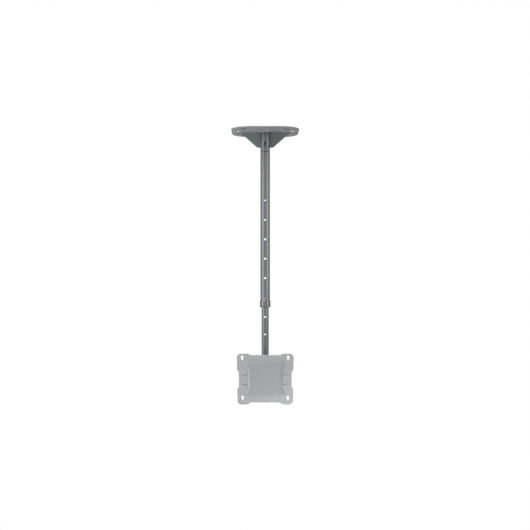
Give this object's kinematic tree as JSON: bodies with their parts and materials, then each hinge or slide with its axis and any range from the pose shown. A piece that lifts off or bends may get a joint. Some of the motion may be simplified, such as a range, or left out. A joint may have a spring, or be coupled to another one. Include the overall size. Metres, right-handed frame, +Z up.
{
  "type": "tv ceiling mount",
  "caption": "Telescopic ceiling pole for a small screen: rounded ceiling plate with a gusseted swivel socket, snap-button height lock and a tilting screen plate with keyholes.",
  "frame": {"origin": "middle of the ceiling plate's top face, where it lies on the ceiling", "axes": "+Z up into the ceiling, -Y the way the screen faces, +X to the right of someone who looks at the screen plate"},
  "size_m": [0.15, 0.15, 0.6107],
  "materials": {
    "pole_paint": "satin grey powder coat",
    "screen_paint": "satin silver grey powder coat",
    "cover_plastic": "fine-grained moulded plastic",
    "nylon": "black nylon",
    "zinc_steel": "zinc-plated steel",
    "spring_steel": "bright spring steel"
  },
  "bodies": {
    "ceiling": {"ceiling_plate": "pole_paint", "swivel_socket": "pole_paint", "gusset_left": "pole_paint", "gusset_right": "pole_paint", "swivel_bush": "nylon"},
    "pole": {"outer_tube": "pole_paint", "swivel_spindle": "zinc_steel", "spindle_pin": "zinc_steel", "swivel_washer": "zinc_steel", "swivel_nut": "zinc_steel", "collar": "pole_paint", "collar_grub_screw": "zinc_steel", "lower_guide_bush": "nylon"},
    "inner_pole": {"inner_tube": "pole_paint", "top_guide": "nylon", "snap_button_clip": "spring_steel", "tilt_knuckle": "pole_paint", "knuckle_pin": "zinc_steel", "friction_washers": "nylon", "guide_bolt": "zinc_steel", "guide_washers": "zinc_steel", "guide_nut": "zinc_steel"},
    "screen_head": {"tilt_bracket_left": "pole_paint", "tilt_bracket_right": "pole_paint", "pivot_bolt": "zinc_steel", "pivot_washers": "zinc_steel", "pivot_nut": "zinc_steel", "screen_plate": "screen_paint", "plate_screws": "zinc_steel", "plate_nuts": "zinc_steel", "centre_cover": "cover_plastic"}
  },
  "joints": [
    {"name": "pole_swivel", "type": "hinge", "parent": "ceiling", "child": "pole", "pos_m": [0, 0, -0.04645], "axis": [0, 0, 1], "continuous": true},
    {"name": "height", "type": "slide", "parent": "pole", "child": "inner_pole", "axis": [0, 0, 1], "range_m": [0, 0.0875], "deforming": ["snap_button_clip"]},
    {"name": "tilt", "type": "hinge", "parent": "inner_pole", "child": "screen_head", "pos_m": [0, 0, -0.5334], "axis": [1, 0, 0], "range_deg": [-27, 3]}
  ]
}
